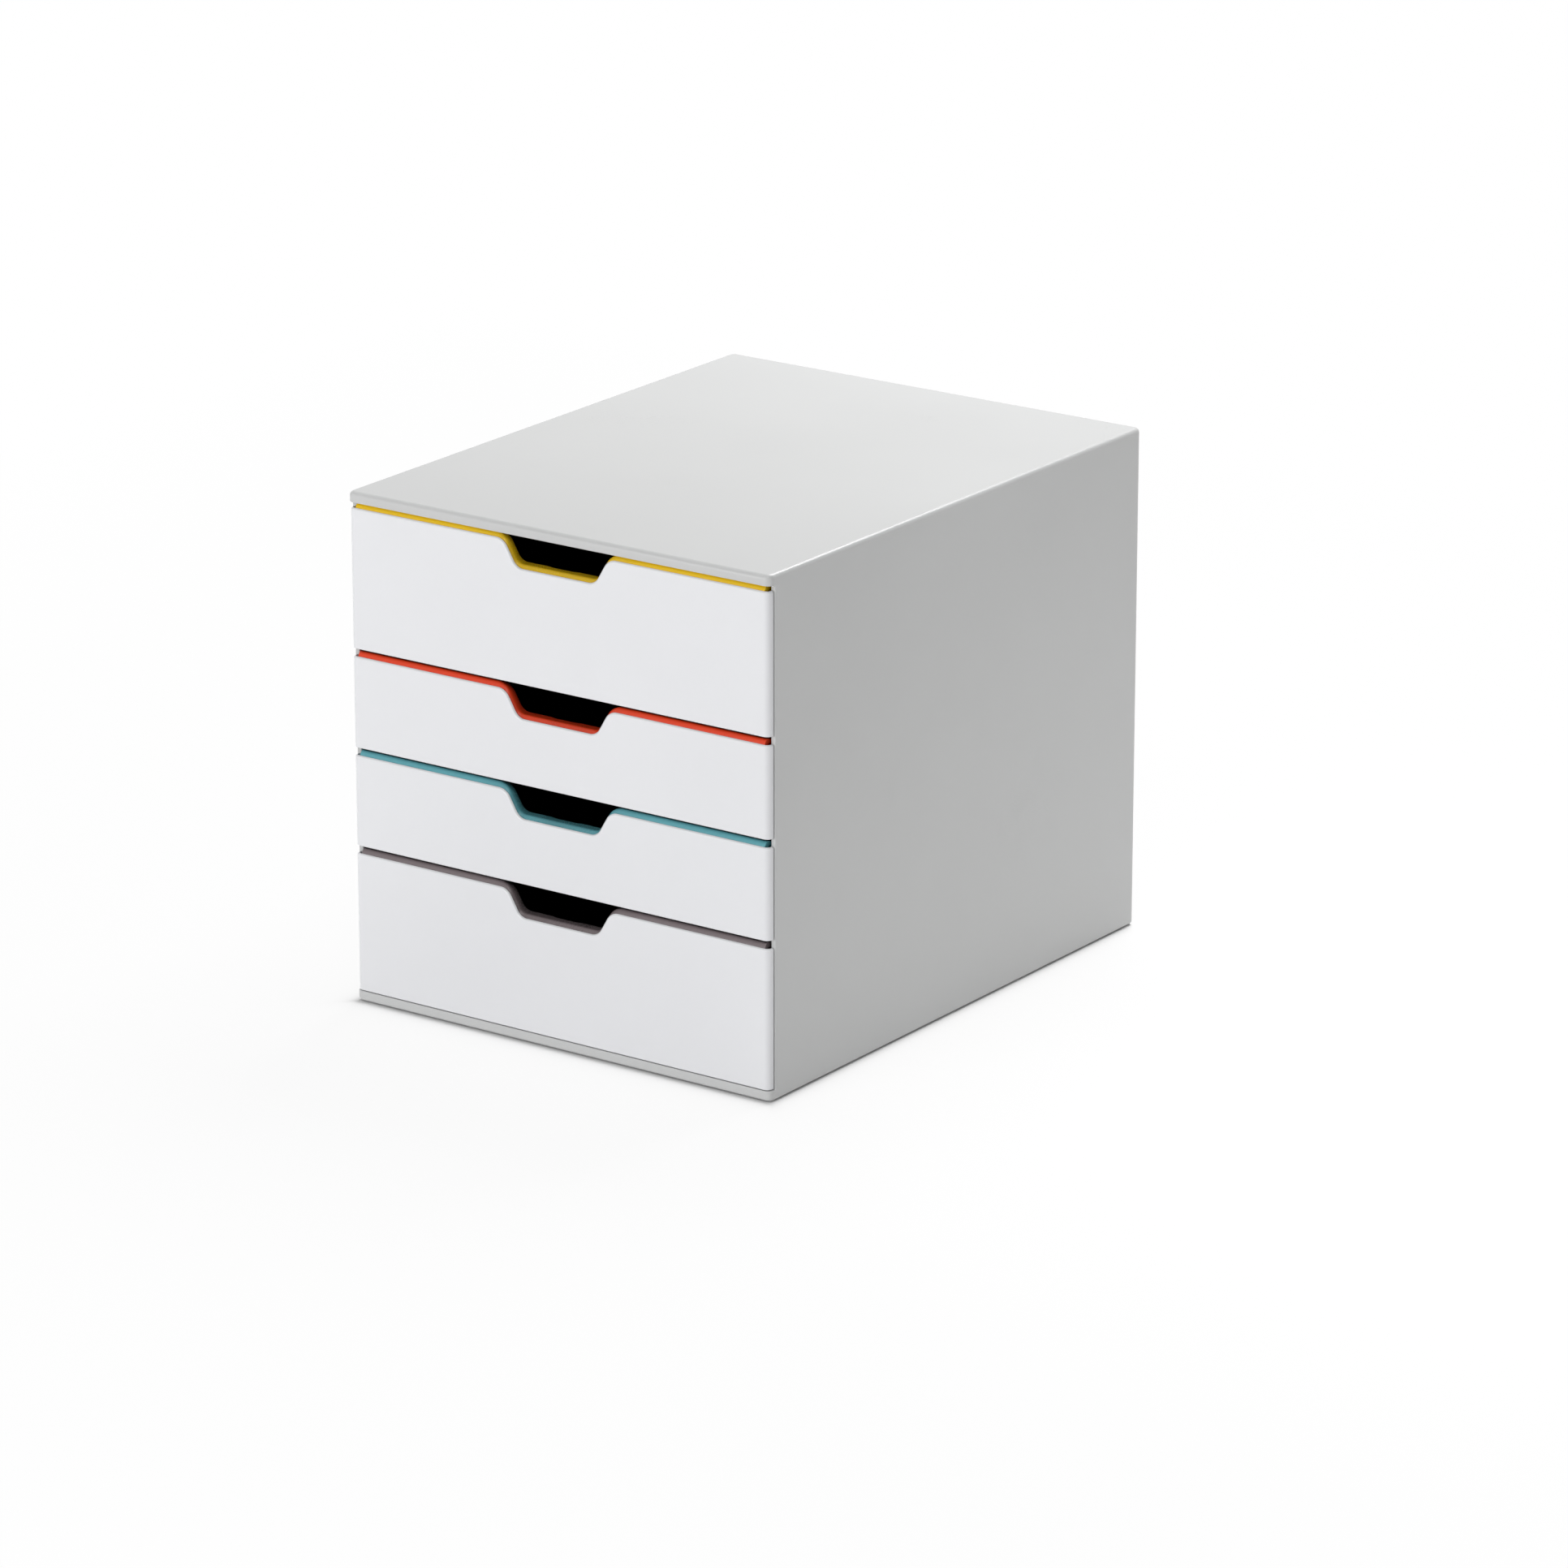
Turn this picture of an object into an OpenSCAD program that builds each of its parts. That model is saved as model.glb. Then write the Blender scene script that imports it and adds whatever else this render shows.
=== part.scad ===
// Desktop drawer box: one moulded housing, two runner panels, a rear panel, four feet and
// four drawers. Each drawer is a tray, a white face and a coloured edge trim between them.
// Frame: +Z up, the faces look along -Y, the origin lies on the desk under the middle.
// Depths called d are measured back from the plane of the faces.

/* [Housing] */
// Width across the housing
housing_w = 280; // [240:1:330]
// Depth from the plane of the faces to the back
housing_d = 356; // [320:1:420]
// Thickness of the two side walls
side_wall = 3; // [2:0.1:4]
// Thickness of the top wall and of the base wall
deck_wall = 3; // [2.6:0.1:5]
// Height of the band across the front, above the top drawer
top_band_h = 6.1; // [4:0.1:8]
// Height of the rail across the front, below the bottom drawer
bottom_rail_h = 5.6; // [5:0.1:9]
// Depth of the band and of the rail from front to back
band_d = 9; // [7:0.5:14]
// Rounding along the edges of the top
top_edge_r = 2.5; // [1:0.1:4]
// Rounding along the edges of the base
base_edge_r = 1.5; // [0.5:0.1:2.5]
// Rounding of the upright corners, seen from above
corner_r = 4; // [2:0.1:6]

/* [Rear panel] */
// Thickness of the rear panel
rear_panel_t = 2.5; // [2:0.1:4]
// Distance of the rear panel inside the back edge of the housing
rear_inset = 1.5; // [0.5:0.1:4]
// Depth of the field that is sunk in the rear panel
rear_field_depth = 0.8; // [0.3:0.1:1.2]
// Width of the plain border around that field
rear_border = 14; // [8:1:30]

/* [Feet] */
// Radius of a rubber foot
foot_r = 9; // [6:0.5:12]
// How far a foot stands out below the base
foot_proud = 1; // [0.8:0.1:2]
// Depth of the pocket that holds a foot
foot_pocket = 1.6; // [1:0.1:2]
// Distance from a foot's centre to the nearest sides of the housing
foot_inset = 20; // [15:1:30]

/* [Runners] */
// Thickness of a runner panel
runner_panel_t = 1.6; // [1.2:0.1:2.4]
// Distance of the runner panels behind the trims and the band
runner_setback = 1.3; // [0.8:0.1:8]
// How far the ribs stand in from a runner panel
rib_reach = 2; // [1.8:0.1:3]
// Thickness of a rib
rib_t = 2; // [1.5:0.1:3]
// Length of a stop lug
stop_lug_l = 6; // [4:0.5:12]
// How far a drawer slides out before its nibs meet the stop lugs
drawer_travel = 270; // [200:1:280]

/* [Drawer faces] */
// Height of the faces of the top drawer and the bottom drawer
tall_face_h = 78.8; // [60:0.1:110]
// Height of the faces of the two middle drawers
short_face_h = 51.4; // [46:0.1:70]
// Height of the slot between two faces
slot_h = 5; // [4.5:0.1:8]
// Height of the slot between the top face and the band above it
top_slot_h = 3.4; // [3.2:0.1:8]
// Gap between the bottom rail and the bottom face
face_rest_gap = 0.5; // [0.4:0.1:1]
// How far each end of a face lies inside the side of the housing
face_inset = 1; // [0.5:0.1:2]
// Thickness of a face
face_t = 2.2; // [1.8:0.1:2.5]
// Depth of a face with its turned-back ends
face_return_d = 4.4; // [4:0.1:6]
// Rounding of the upright corners of a face
face_corner_r = 3.5; // [2.6:0.1:4]

/* [Finger notch] */
// Width of the notch at the top edge of a face
notch_top_w = 70; // [64:1:90]
// Width of the notch at its bottom
notch_bottom_w = 52.4; // [40:0.1:60]
// Depth of the notch below the top edge
notch_depth = 15; // [11:0.5:18]
// Rounding of the notch's corners
notch_r = 5; // [2:0.5:7]

/* [Edge trim] */
// How far the trim's rounded rim stands above the top edge of the face
rim_rise = 2.1; // [1:0.1:2.4]
// Thickness of the rim's wall
trim_t = 2; // [1.5:0.1:2.5]
// How far the rim starts below the top edge of the face
trim_drop = 0.4; // [0.3:0.1:0.8]
// How far the finger ledge in the notch reaches behind the rim
ledge_reach = 1.3; // [1:0.1:3]
// How much further the ledge's upper side stands above the notch's floor than the rim
ledge_rise = 0.2; // [0.1:0.1:0.6]
// Width of the finger scoop in the back edge of the ledge
scoop_w = 20; // [15:1:30]
// Depth of that scoop
scoop_depth = 1.5; // [0.6:0.1:1.5]
// Height of the skirt behind the face
skirt_h = 8; // [5:0.5:9]
// How far the lip behind the tray's front wall reaches below the top edge of the face
lip_h = 5; // [3.5:0.5:7]
// Thickness of that lip
lip_t = 1.2; // [1:0.1:2]

/* [Trays] */
// Thickness of the tray's front wall
tray_front_t = 2.5; // [2:0.1:3]
// Thickness of the tray's other walls
tray_wall = 2; // [1.5:0.1:2.5]
// Thickness of the tray's floor
tray_floor = 2; // [1.5:0.1:3]
// Height of the floor's underside above the bottom edge of the face
tray_lift = 2; // [1:0.1:4]
// Rounding of the tray's rear corners
tray_corner_r = 6; // [3:0.5:10]
// Thickness of the flange that hangs on the runner
flange_t = 2; // [1.5:0.1:3]
// Length of the nib at the back of a flange
nib_l = 8; // [5:0.5:12]
// Height of that nib
nib_h = 1.5; // [1:0.1:2]

/* [Fixing pegs] */
// Radius of the peg that holds a face on its tray
peg_r = 2.4; // [1.5:0.1:3]
// Radius of the boss around the foot of a peg
peg_boss_r = 4; // [3.5:0.1:5]
// Distance of the pegs from the ends of the face
peg_end = 28; // [20:1:50]
// Distance of the lower pegs from the bottom edge, and of the upper ones under the skirt
peg_edge = 10; // [8:0.5:14]

/* [Clearances] */
// Gap between the turned-back ends of a face and the housing's side walls behind them
return_gap = 0.4; // [0.3:0.1:1]
// Gap between a face and the trim behind it
trim_gap = 0.2; // [0.1:0.1:0.8]
// Gap between a flange and the runner under it
runner_gap = 0.3; // [0.3:0.05:0.6]
// Gap between a tray and the ribs beside it
side_gap = 0.4; // [0.3:0.05:0.7]
// Gap above a nib, and between a nib and its stop lug with the drawer out
nib_gap = 0.5; // [0.3:0.05:0.8]
// Gap between the back of a tray and the rear panel
rear_gap = 2; // [1:0.5:6]
// Gap around a piece that is pushed into another one
fit_gap = 0.1; // [0.05:0.01:0.2]
// Gap between the trim's ends and the turned-back ends of the face
trim_end_gap = 0.6; // [0.4:0.1:1]

/* [Hidden] */

// Steps of an arc that rounds a corner, and those of the scoop
arc_steps = 8;
notch_steps = 4;
scoop_steps = 6;
// How far a cutting shape runs past what it cuts
over = 1;

// Drawers by number, from the bottom up
BOTTOM = 0;
THIRD = BOTTOM + 1;
SECOND = THIRD + 1;
TOP = SECOND + 1;
face_heights = [tall_face_h, short_face_h, short_face_h, tall_face_h];
function stack_height(count) = count == 0 ? 0 : face_heights[count - 1] + slot_h + stack_height(count - 1);
function face_bottom(i) = rail_top + face_rest_gap + stack_height(i);
function face_top(i) = face_bottom(i) + face_heights[i];

front_y = -housing_d / 2;
rail_top = foot_proud + bottom_rail_h;
band_bottom = face_top(TOP) + top_slot_h;
housing_top = band_bottom + top_band_h;
deck_bottom = foot_proud + deck_wall;
deck_top = housing_top - deck_wall;
inner_w = housing_w - 2 * side_wall;
side_front_d = face_return_d + return_gap;

trim_front_d = face_t + trim_gap;
tray_front_d = face_return_d + fit_gap;
tray_wall_back_d = tray_front_d + tray_front_t;
lip_front_d = tray_wall_back_d + fit_gap;
trim_back_d = lip_front_d + lip_t;
ledge_back_d = trim_back_d + ledge_reach;
runner_front_d = max(trim_back_d, band_d) + runner_setback;
rear_panel_d = housing_d - rear_inset - rear_panel_t;
runner_face_w = inner_w - 2 * runner_panel_t;
tray_w = runner_face_w - 2 * (rib_reach + side_gap);
flange_w = runner_face_w - 2 * side_gap;
tray_back_d = rear_panel_d - rear_gap;
face_w = housing_w - 2 * face_inset;
trim_w = face_w - 2 * (face_t + trim_end_gap);
flange_front_d = trim_back_d + side_gap;
function tray_top(i) = face_top(i) - trim_drop - trim_t;
nib_back_d = tray_back_d - tray_corner_r;
nib_front_d = nib_back_d - nib_l;
stop_lug_back_d = nib_front_d - drawer_travel - nib_gap;

// ---- outlines -------------------------------------------------------------------------

function unit(v) = v / norm(v);

// The arc of radius r that rounds the corner at b between a and c, as points
function round_corner(a, b, c, r, steps) =
    let (u = unit(a - b), v = unit(c - b), half = acos(u * v) / 2)
    let (centre = b + unit(u + v) * r / sin(half))
    let (start = b + u * r / tan(half) - centre, stop = b + v * r / tan(half) - centre)
    let (from = atan2(start.y, start.x), turn = atan2(stop.y, stop.x) - from)
    let (sweep = turn > 180 ? turn - 360 : turn < -180 ? turn + 360 : turn)
    [for (k = [0:steps]) centre + r * [cos(from + sweep * k / steps), sin(from + sweep * k / steps)]];

// A closed outline whose corners are rounded, each by its own radius
function rounded(points, radii, steps) =
    let (n = len(points))
    [for (k = [0:n - 1])
        each (radii[k] == 0 ? [points[k]]
            : round_corner(points[(k + n - 1) % n], points[k], points[(k + 1) % n], radii[k], steps))];

// A rectangle from one corner to the other, with radii for its two low and two high corners
function rounded_box(low, high, low_r, high_r) =
    rounded([low, [high.x, low.y], high, [low.x, high.y]], [low_r, low_r, high_r, high_r], arc_steps);

// Half of the angle between the notch's slanted wall and the level edge
notch_half_turn = atan2(notch_depth, (notch_top_w - notch_bottom_w) / 2) / 2;

// Gives each point of a line a third value that runs evenly between two values
function with_share(points, from, to) =
    let (last = len(points) - 1)
    [for (k = [0:last]) [points[k].x, points[k].y, from + (to - from) * k / last]];

// The top edge of a face with its notch, from left to right, at level 0. The line is moved
// into the material by inset, and on the notch's floor by floor_inset. The third value of a
// point says how much it belongs to that floor: 1 on the floor, 0 on the walls and outside.
function notched_edge(half_w, inset, floor_inset) =
    let (slope = (notch_top_w - notch_bottom_w) / 2 / notch_depth)
    let (high = -inset, low = -notch_depth - floor_inset)
    let (a = notch_top_w / 2 + inset * tan(notch_half_turn), b = a - slope * (high - low))
    let (high_r = max(notch_r - inset, 0.4), low_r = max(notch_r + floor_inset, 0.4))
    [
        [-half_w, high, 0],
        each with_share(round_corner([-half_w, high], [-a, high], [-b, low], high_r, notch_steps), 0, 0),
        each with_share(round_corner([-a, high], [-b, low], [0, low], low_r, notch_steps), 0, 1),
        each [for (k = [0:scoop_steps]) [scoop_w * (k / scoop_steps - 0.5), low, 1]],
        each with_share(round_corner([0, low], [b, low], [a, high], low_r, notch_steps), 1, 0),
        each with_share(round_corner([b, low], [a, high], [half_w, high], high_r, notch_steps), 0, 0),
        [half_w, high, 0]
    ];

// The same edge as a flat line, moved into the material by the same inset everywhere
function flat_edge(half_w, inset) = [for (p = notched_edge(half_w, inset, inset)) [p.x, p.y]];

// ---- general shapes -------------------------------------------------------------------

// An outline drawn in X and Z, as a solid between two depths
module between_depths(from_d, to_d)
    translate([0, front_y + to_d, 0]) rotate([90, 0, 0]) linear_extrude(to_d - from_d) children();

// A block that spans the middle, between two depths and two heights
module middle_block(w, from_d, to_d, low, high)
    translate([-w / 2, front_y + from_d, low]) cube([w, to_d - from_d, high - low]);

// A solid through a list of rings that all have as many points: each ring is one long edge
module swept_rings(rings) {
    count = len(rings);
    n = len(rings[0]);
    points = [for (ring = rings) each ring];
    sides = [for (r = [0:count - 1], k = [0:n - 2])
        let (here = r * n + k, next = ((r + 1) % count) * n + k)
        each [[here, here + 1, next + 1], [here, next + 1, next]]];
    left_end = [for (r = [0:count - 1]) r * n];
    right_end = [for (r = [count - 1:-1:0]) r * n + n - 1];
    polyhedron(points, [each sides, left_end, right_end]);
}

// ---- housing --------------------------------------------------------------------------

// The outside of the housing: what its front, side and top views have in common
module housing_outside() {
    intersection() {
        between_depths(0, housing_d)
            polygon(rounded_box([-housing_w / 2, foot_proud], [housing_w / 2, housing_top],
                base_edge_r, top_edge_r));
        rotate([90, 0, 90]) translate([0, 0, -housing_w / 2]) linear_extrude(housing_w)
            polygon(rounded_box([front_y, foot_proud], [-front_y, housing_top], base_edge_r, top_edge_r));
        translate([0, 0, foot_proud]) linear_extrude(housing_top - foot_proud)
            polygon(rounded_box([-housing_w / 2, front_y], [housing_w / 2, -front_y], corner_r, corner_r));
    }
}

// Shallow pockets under the base, which leave a lattice of stiffening ribs
pocket_columns = 4;
pocket_rows = 5;
pocket_rib = 4;
pocket_depth = 1;
pocket_margin = foot_inset + foot_r + pocket_rib;
module base_pockets() {
    field = [housing_w - 2 * pocket_margin, housing_d - 2 * pocket_margin];
    pitch = [(field.x + pocket_rib) / pocket_columns, (field.y + pocket_rib) / pocket_rows];
    for (column = [0:pocket_columns - 1], row = [0:pocket_rows - 1])
        translate([column * pitch.x - field.x / 2, row * pitch.y - field.y / 2, foot_proud - over])
            cube([pitch.x - pocket_rib, pitch.y - pocket_rib, pocket_depth + over]);
}

// Puts its children at the place of one foot: side is -1 or 1, end is -1 for the front
module at_foot(side, end)
    translate([side * (housing_w / 2 - foot_inset), end * (housing_d / 2 - foot_inset), 0]) children();

module housing_shell() {
    color([0.72, 0.73, 0.73]) difference() {
        housing_outside();
        middle_block(inner_w, band_d, housing_d + over, deck_bottom, deck_top);
        middle_block(inner_w, -over, band_d + over, rail_top, band_bottom);
        middle_block(housing_w + 2 * over, -over, side_front_d, rail_top, band_bottom);
        base_pockets();
        for (side = [-1, 1], end = [-1, 1])
            at_foot(side, end) cylinder(r = foot_r + fit_gap, h = foot_proud + foot_pocket, $fn = 48);
    }
}

// The panel that closes the back, with a shallow field sunk in its outer face
module rear_panel() {
    low = deck_bottom;
    high = deck_top - fit_gap;
    w = inner_w - 2 * fit_gap;
    color([0.70, 0.71, 0.71]) difference() {
        middle_block(w, rear_panel_d, rear_panel_d + rear_panel_t, low, high);
        between_depths(rear_panel_d + rear_panel_t - rear_field_depth, housing_d)
            polygon(rounded_box([rear_border - w / 2, low + rear_border],
                [w / 2 - rear_border, high - rear_border], corner_r, corner_r));
    }
}

module foot(side, end)
    color([0.16, 0.16, 0.17]) at_foot(side, end)
        cylinder(r = foot_r, h = foot_proud + foot_pocket, $fn = 48);

module front_left_foot() foot(-1, -1);
module front_right_foot() foot(1, -1);
module rear_left_foot() foot(-1, 1);
module rear_right_foot() foot(1, 1);

// ---- runners --------------------------------------------------------------------------

// The ribs of one drawer on the right-hand panel: the runner, the keeper and the stop lug
module drawer_ribs(i) {
    reach_x = runner_face_w / 2 - rib_reach;
    flange_bottom = tray_top(i) - flange_t;
    keeper_bottom = tray_top(i) + nib_h + nib_gap;
    runner_top = flange_bottom - runner_gap;
    length = rear_panel_d - runner_front_d;
    translate([reach_x, front_y + runner_front_d, runner_top - rib_t])
        cube([rib_reach + fit_gap, length, rib_t]);
    translate([reach_x, front_y + runner_front_d, keeper_bottom])
        cube([rib_reach + fit_gap, length, rib_t]);
    translate([reach_x, front_y + stop_lug_back_d - stop_lug_l, tray_top(i) + runner_gap])
        cube([rib_reach + fit_gap, stop_lug_l, keeper_bottom - tray_top(i)]);
}

module right_runner_panel() {
    color([0.66, 0.67, 0.67]) {
        translate([runner_face_w / 2, front_y + runner_front_d, deck_bottom])
            cube([runner_panel_t, rear_panel_d - runner_front_d, deck_top - fit_gap - deck_bottom]);
        for (i = [BOTTOM:TOP]) drawer_ribs(i);
    }
}

module left_runner_panel() mirror([1, 0, 0]) right_runner_panel();

// ---- drawers --------------------------------------------------------------------------

// Puts its children at each of the four pegs of drawer i, with +Z turned towards the back
module at_pegs(i, from_d) {
    x = face_w / 2 - peg_end;
    low = face_bottom(i) + peg_edge;
    high = face_top(i) - trim_drop - skirt_h - peg_edge;
    for (side = [-1, 1], z = [low, high])
        translate([side * x, front_y + from_d, z]) rotate([-90, 0, 0]) children();
}

// The white face: a thin plate whose ends turn back, with the finger notch in its top edge
module face(i) {
    w = face_w / 2;
    plan_outer = rounded_box([-w, 0], [w, face_return_d], face_corner_r, 0);
    plan_inner = rounded_box([face_t - w, face_t], [w - face_t, face_return_d + over],
        face_corner_r - face_t, 0);
    color([0.91, 0.91, 0.92]) {
        intersection() {
            between_depths(-over, face_return_d + over) translate([0, face_top(i)])
                polygon([
                    [-w - over, -face_heights[i]],
                    each flat_edge(w + over, 0),
                    [w + over, -face_heights[i]]
                ]);
            translate([0, front_y, face_bottom(i)]) linear_extrude(face_heights[i]) difference() {
                polygon(plan_outer);
                polygon(plan_inner);
            }
        }
        at_pegs(i, face_t) cylinder(r = peg_boss_r, h = tray_front_d - face_t, $fn = 32);
        at_pegs(i, face_t) cylinder(r = peg_r, h = tray_wall_back_d - face_t, $fn = 32);
    }
}

// How far the scoop cuts forward at x
function scoop_at(x) = abs(x) >= scoop_w / 2 ? 0 : scoop_depth * (1 - pow(2 * x / scoop_w, 2));

// The rounded back of the rim: pairs of the share of its depth and the share of its height
rim_curve = [[0, 0], [0.2, 0.63], [0.48, 1], [0.76, 0.83], [1, 0.27]];
crest = 2;

// Where the rings of a trim run: depth and height above the face's edge, first on the walls
// and the level runs, then on the notch's floor, and last whether the scoop cuts it
function rim_ring(k) =
    let (d = trim_front_d + rim_curve[k].x * (trim_back_d - trim_front_d))
    let (h = (rim_rise + trim_drop) * rim_curve[k].y - trim_drop)
    let (share = max(k - crest, 0) / (len(rim_curve) - 1 - crest))
    let (floor_d = d + ledge_reach * share, last = k == len(rim_curve) - 1)
    [d, h, floor_d, k <= crest ? h : rim_rise + ledge_rise * share, last];
rim_under = rim_rise - trim_t;
ledge_under = rim_rise + ledge_rise - trim_t;
trim_rings = [
    each [for (k = [0:len(rim_curve) - 1]) rim_ring(k)],
    [trim_back_d, -trim_t / 2, ledge_back_d, ledge_under + 0.5, true],
    [trim_back_d, -trim_t, trim_back_d, ledge_under, false],
    [trim_back_d, -lip_h, trim_back_d, -lip_h, false],
    [lip_front_d, -lip_h, lip_front_d, -lip_h, false],
    [lip_front_d, rim_under, lip_front_d, rim_under, false],
    [tray_front_d, rim_under, tray_front_d, rim_under, false],
    [tray_front_d, -trim_drop - skirt_h, tray_front_d, -trim_drop - skirt_h, false],
    [trim_front_d, -trim_drop - skirt_h, trim_front_d, -trim_drop - skirt_h, false]
];

// One ring of the trim of drawer i, as points from its left end to its right end
function trim_edge(i, ring) =
    [for (p = notched_edge(trim_w / 2, -ring[1], -ring[3]))
        let (scoop = ring[4] ? p.z * scoop_at(p.x) : 0)
        [p.x, front_y + ring[0] + p.z * (ring[2] - ring[0]) - scoop, p.y + face_top(i)]];

// The coloured trim: a rounded rim that follows the face's edge and grows into a finger ledge
// on the notch's floor, with a skirt behind the face and a lip behind the tray's front wall
module trim(i, shade)
    color(shade) swept_rings([for (ring = trim_rings) trim_edge(i, ring)]);

// The tray: an open box with hanging flanges, stop nibs and a notched front wall
module tray(i) {
    low = face_bottom(i) + tray_lift;
    high = tray_top(i);
    back = front_y + tray_back_d;
    front = front_y + tray_front_d;
    inner_front = front_y + tray_wall_back_d;
    color([0.15, 0.15, 0.16]) difference() {
        union() {
            translate([0, 0, low]) linear_extrude(high - low)
                polygon(rounded_box([-tray_w / 2, front], [tray_w / 2, back], 0, tray_corner_r));
            middle_block(flange_w, flange_front_d, nib_back_d, high - flange_t, high);
            middle_block(flange_w, nib_front_d, nib_back_d, high - flange_t, high + nib_h);
            middle_block(tray_w, tray_front_d, tray_wall_back_d, high - over, face_top(i) + rim_rise);
        }
        translate([0, 0, low + tray_floor]) linear_extrude(high - low + nib_h)
            polygon(rounded_box([tray_wall - tray_w / 2, inner_front],
                [tray_w / 2 - tray_wall, back - tray_wall], 0, tray_corner_r - tray_wall));
        middle_block(tray_w, flange_front_d, housing_d, high, high + nib_h + over);
        middle_block(tray_w + 2 * over, tray_wall_back_d, trim_back_d + fit_gap,
            face_top(i) - lip_h - fit_gap, high + over);
        between_depths(tray_front_d - over, tray_wall_back_d + over) translate([0, face_top(i)])
            polygon([
                [-trim_w / 2, rim_rise + over],
                each flat_edge(trim_w / 2, fit_gap - rim_under),
                [trim_w / 2, rim_rise + over]
            ]);
        at_pegs(i, tray_front_d - over) cylinder(r = peg_r + fit_gap, h = tray_front_t + 2 * over, $fn = 32);
    }
}

yellow = [0.80, 0.66, 0.08];
red = [0.82, 0.24, 0.16];
teal = [0.35, 0.59, 0.62];
brown = [0.42, 0.38, 0.39];

module top_drawer_tray() tray(TOP);
module top_drawer_face() face(TOP);
module top_drawer_trim() trim(TOP, yellow);
module second_drawer_tray() tray(SECOND);
module second_drawer_face() face(SECOND);
module second_drawer_trim() trim(SECOND, red);
module third_drawer_tray() tray(THIRD);
module third_drawer_face() face(THIRD);
module third_drawer_trim() trim(THIRD, teal);
module bottom_drawer_tray() tray(BOTTOM);
module bottom_drawer_face() face(BOTTOM);
module bottom_drawer_trim() trim(BOTTOM, brown);

housing_shell();
left_runner_panel();
right_runner_panel();
rear_panel();
front_left_foot();
front_right_foot();
rear_left_foot();
rear_right_foot();
top_drawer_tray();
top_drawer_face();
top_drawer_trim();
second_drawer_tray();
second_drawer_face();
second_drawer_trim();
third_drawer_tray();
third_drawer_face();
third_drawer_trim();
bottom_drawer_tray();
bottom_drawer_face();
bottom_drawer_trim();
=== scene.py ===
# %% [markdown]
# # A desktop box with four drawers
#
# The real object is a grey moulded housing with four drawers that slide out of its front.
# Each drawer is a dark tray, a white face and a coloured trim that shows as a thin line along
# the face's top edge and as a rim round its finger notch.
#
# This lesson dresses a finished construction. The packed model gives every part at its true
# size and says which body it moves with. We keep the parts whose shape is right, build finer
# skins for the ones that everybody looks at, and give each one the plastic it is made of.

# %% Load the fixed frame
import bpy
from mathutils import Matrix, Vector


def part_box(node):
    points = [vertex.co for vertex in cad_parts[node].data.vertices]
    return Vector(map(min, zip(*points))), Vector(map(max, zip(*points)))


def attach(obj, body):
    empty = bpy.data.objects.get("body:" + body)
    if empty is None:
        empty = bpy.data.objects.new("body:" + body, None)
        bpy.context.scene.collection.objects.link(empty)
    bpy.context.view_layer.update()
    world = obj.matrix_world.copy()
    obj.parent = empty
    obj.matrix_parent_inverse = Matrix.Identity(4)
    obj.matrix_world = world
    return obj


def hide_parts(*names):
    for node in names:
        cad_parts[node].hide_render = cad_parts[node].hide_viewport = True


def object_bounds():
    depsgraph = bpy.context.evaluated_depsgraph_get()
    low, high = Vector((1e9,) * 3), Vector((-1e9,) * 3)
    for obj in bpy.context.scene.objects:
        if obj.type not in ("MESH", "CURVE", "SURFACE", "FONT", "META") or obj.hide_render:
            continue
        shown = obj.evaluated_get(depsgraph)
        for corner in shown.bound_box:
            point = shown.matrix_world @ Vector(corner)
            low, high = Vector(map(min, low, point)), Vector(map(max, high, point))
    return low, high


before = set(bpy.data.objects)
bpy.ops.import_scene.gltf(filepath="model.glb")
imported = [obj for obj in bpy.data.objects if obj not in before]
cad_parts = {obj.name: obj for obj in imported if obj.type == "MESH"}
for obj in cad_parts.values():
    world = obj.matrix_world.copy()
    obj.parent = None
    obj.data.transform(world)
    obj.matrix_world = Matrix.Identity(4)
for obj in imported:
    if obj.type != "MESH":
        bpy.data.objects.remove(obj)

cad_low, cad_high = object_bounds()
print("parts:", len(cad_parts), "size in mm:", [round(1000 * s, 1) for s in cad_high - cad_low])

# %% [markdown]
# ## Corners
#
# Injection moulding leaves no sharp corner: steel is cut with round tools, and a round corner
# lets the plastic flow. So nearly every outline here is a row of straight runs with an arc
# between them. Blender could round a corner with a Bevel modifier, but then the arc is only
# known after the fact. We need its points ourselves, because the same corners come back at
# another depth and offset, so one function gives the points of an arc that touches both
# neighbouring edges. Lengths are millimetres, as on the drawing, until a mesh is made.

# %% Arcs and rounded outlines
import bmesh
import bpy
from math import atan2, cos, pi, radians, sin, sqrt, tan
from mathutils import Vector

MM = 0.001
CORNER_STEPS = 8


def round_corner(before, corner, after, radius, steps=CORNER_STEPS):
    """Points of the arc that rounds a corner between two straight edges."""
    towards = (before - corner).normalized()
    away = (after - corner).normalized()
    half = towards.angle(away) / 2
    middle = corner + (towards + away).normalized() * (radius / sin(half))
    start = corner + towards * (radius / tan(half)) - middle
    stop = corner + away * (radius / tan(half)) - middle
    first = atan2(start.y, start.x)
    sweep = (atan2(stop.y, stop.x) - first + pi) % (2 * pi) - pi
    turns = [first + sweep * step / steps for step in range(steps + 1)]
    return [middle + radius * Vector((cos(turn), sin(turn))) for turn in turns]


def rounded_rectangle(half_w, half_d, radius):
    """A rectangle round the origin, with all four corners rounded alike."""
    signs = [(-1, -1), (1, -1), (1, 1), (-1, 1)]
    corners = [Vector((x * half_w, y * half_d)) for x, y in signs]
    outline = []
    for place, corner in enumerate(corners):
        outline += round_corner(corners[place - 1], corner, corners[(place + 1) % 4], radius)
    return outline


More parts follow.
